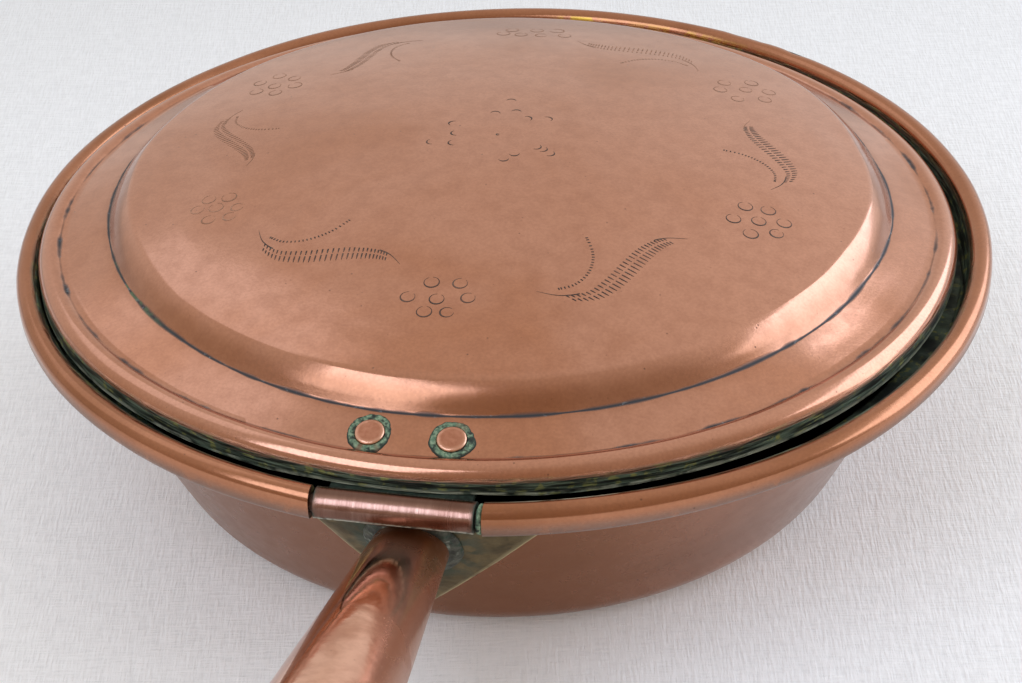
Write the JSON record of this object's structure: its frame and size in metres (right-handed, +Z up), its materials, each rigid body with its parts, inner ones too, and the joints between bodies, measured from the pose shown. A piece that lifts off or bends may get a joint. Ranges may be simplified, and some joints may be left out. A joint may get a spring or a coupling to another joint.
{
  "type": "bed warming pan",
  "caption": "Round copper bed warming pan with a hinged domed lid, a conical socket and a long turned wooden handle with a hanging ring.",
  "frame": {"origin": "centre of the pan's flat base, on the surface it stands on", "axes": "+Z up; the handle runs out along -Y and rises; the hinge line lies along X"},
  "size_m": [0.29, 0.9812, 0.2015],
  "materials": {
    "pan_copper": "hand-polished copper, browned by age",
    "wire_iron": "bare iron wire, dark",
    "plate_brass": "tarnished brass sheet",
    "solder": "dull grey-white soft solder",
    "socket_copper": "bright polished copper",
    "handle_wood": "turned and waxed fruitwood",
    "nail_brass": "worn brass nail heads",
    "fitting_iron": "wrought iron, dark",
    "lid_copper": "hand-polished copper with punched and scribed ornament",
    "strap_copper": "brushed copper strip, silvery pink",
    "rivet_copper": "hammered copper rivet heads"
  },
  "bodies": {
    "pan": {"pan_bowl": "pan_copper", "rim_wire": "wire_iron", "back_plate": "plate_brass", "socket_solder": "solder", "handle_socket": "socket_copper", "wooden_handle": "handle_wood", "socket_nails": "nail_brass", "screw_eye": "fitting_iron"},
    "lid": {"lid": "lid_copper", "hinge_strap": "strap_copper", "lid_rivets": "rivet_copper"},
    "ring": {"hanging_ring": "fitting_iron"}
  },
  "joints": [
    {"name": "lid_hinge", "type": "hinge", "parent": "pan", "child": "lid", "pos_m": [0, -0.1398, 0.0693], "axis": [1, 0, 0], "range_deg": [0, 141]},
    {"name": "ring_swing", "type": "hinge", "parent": "pan", "child": "ring", "pos_m": [0, -0.82812, 0.18769], "axis": [1, 0, 0], "range_deg": [-230, 45]}
  ]
}
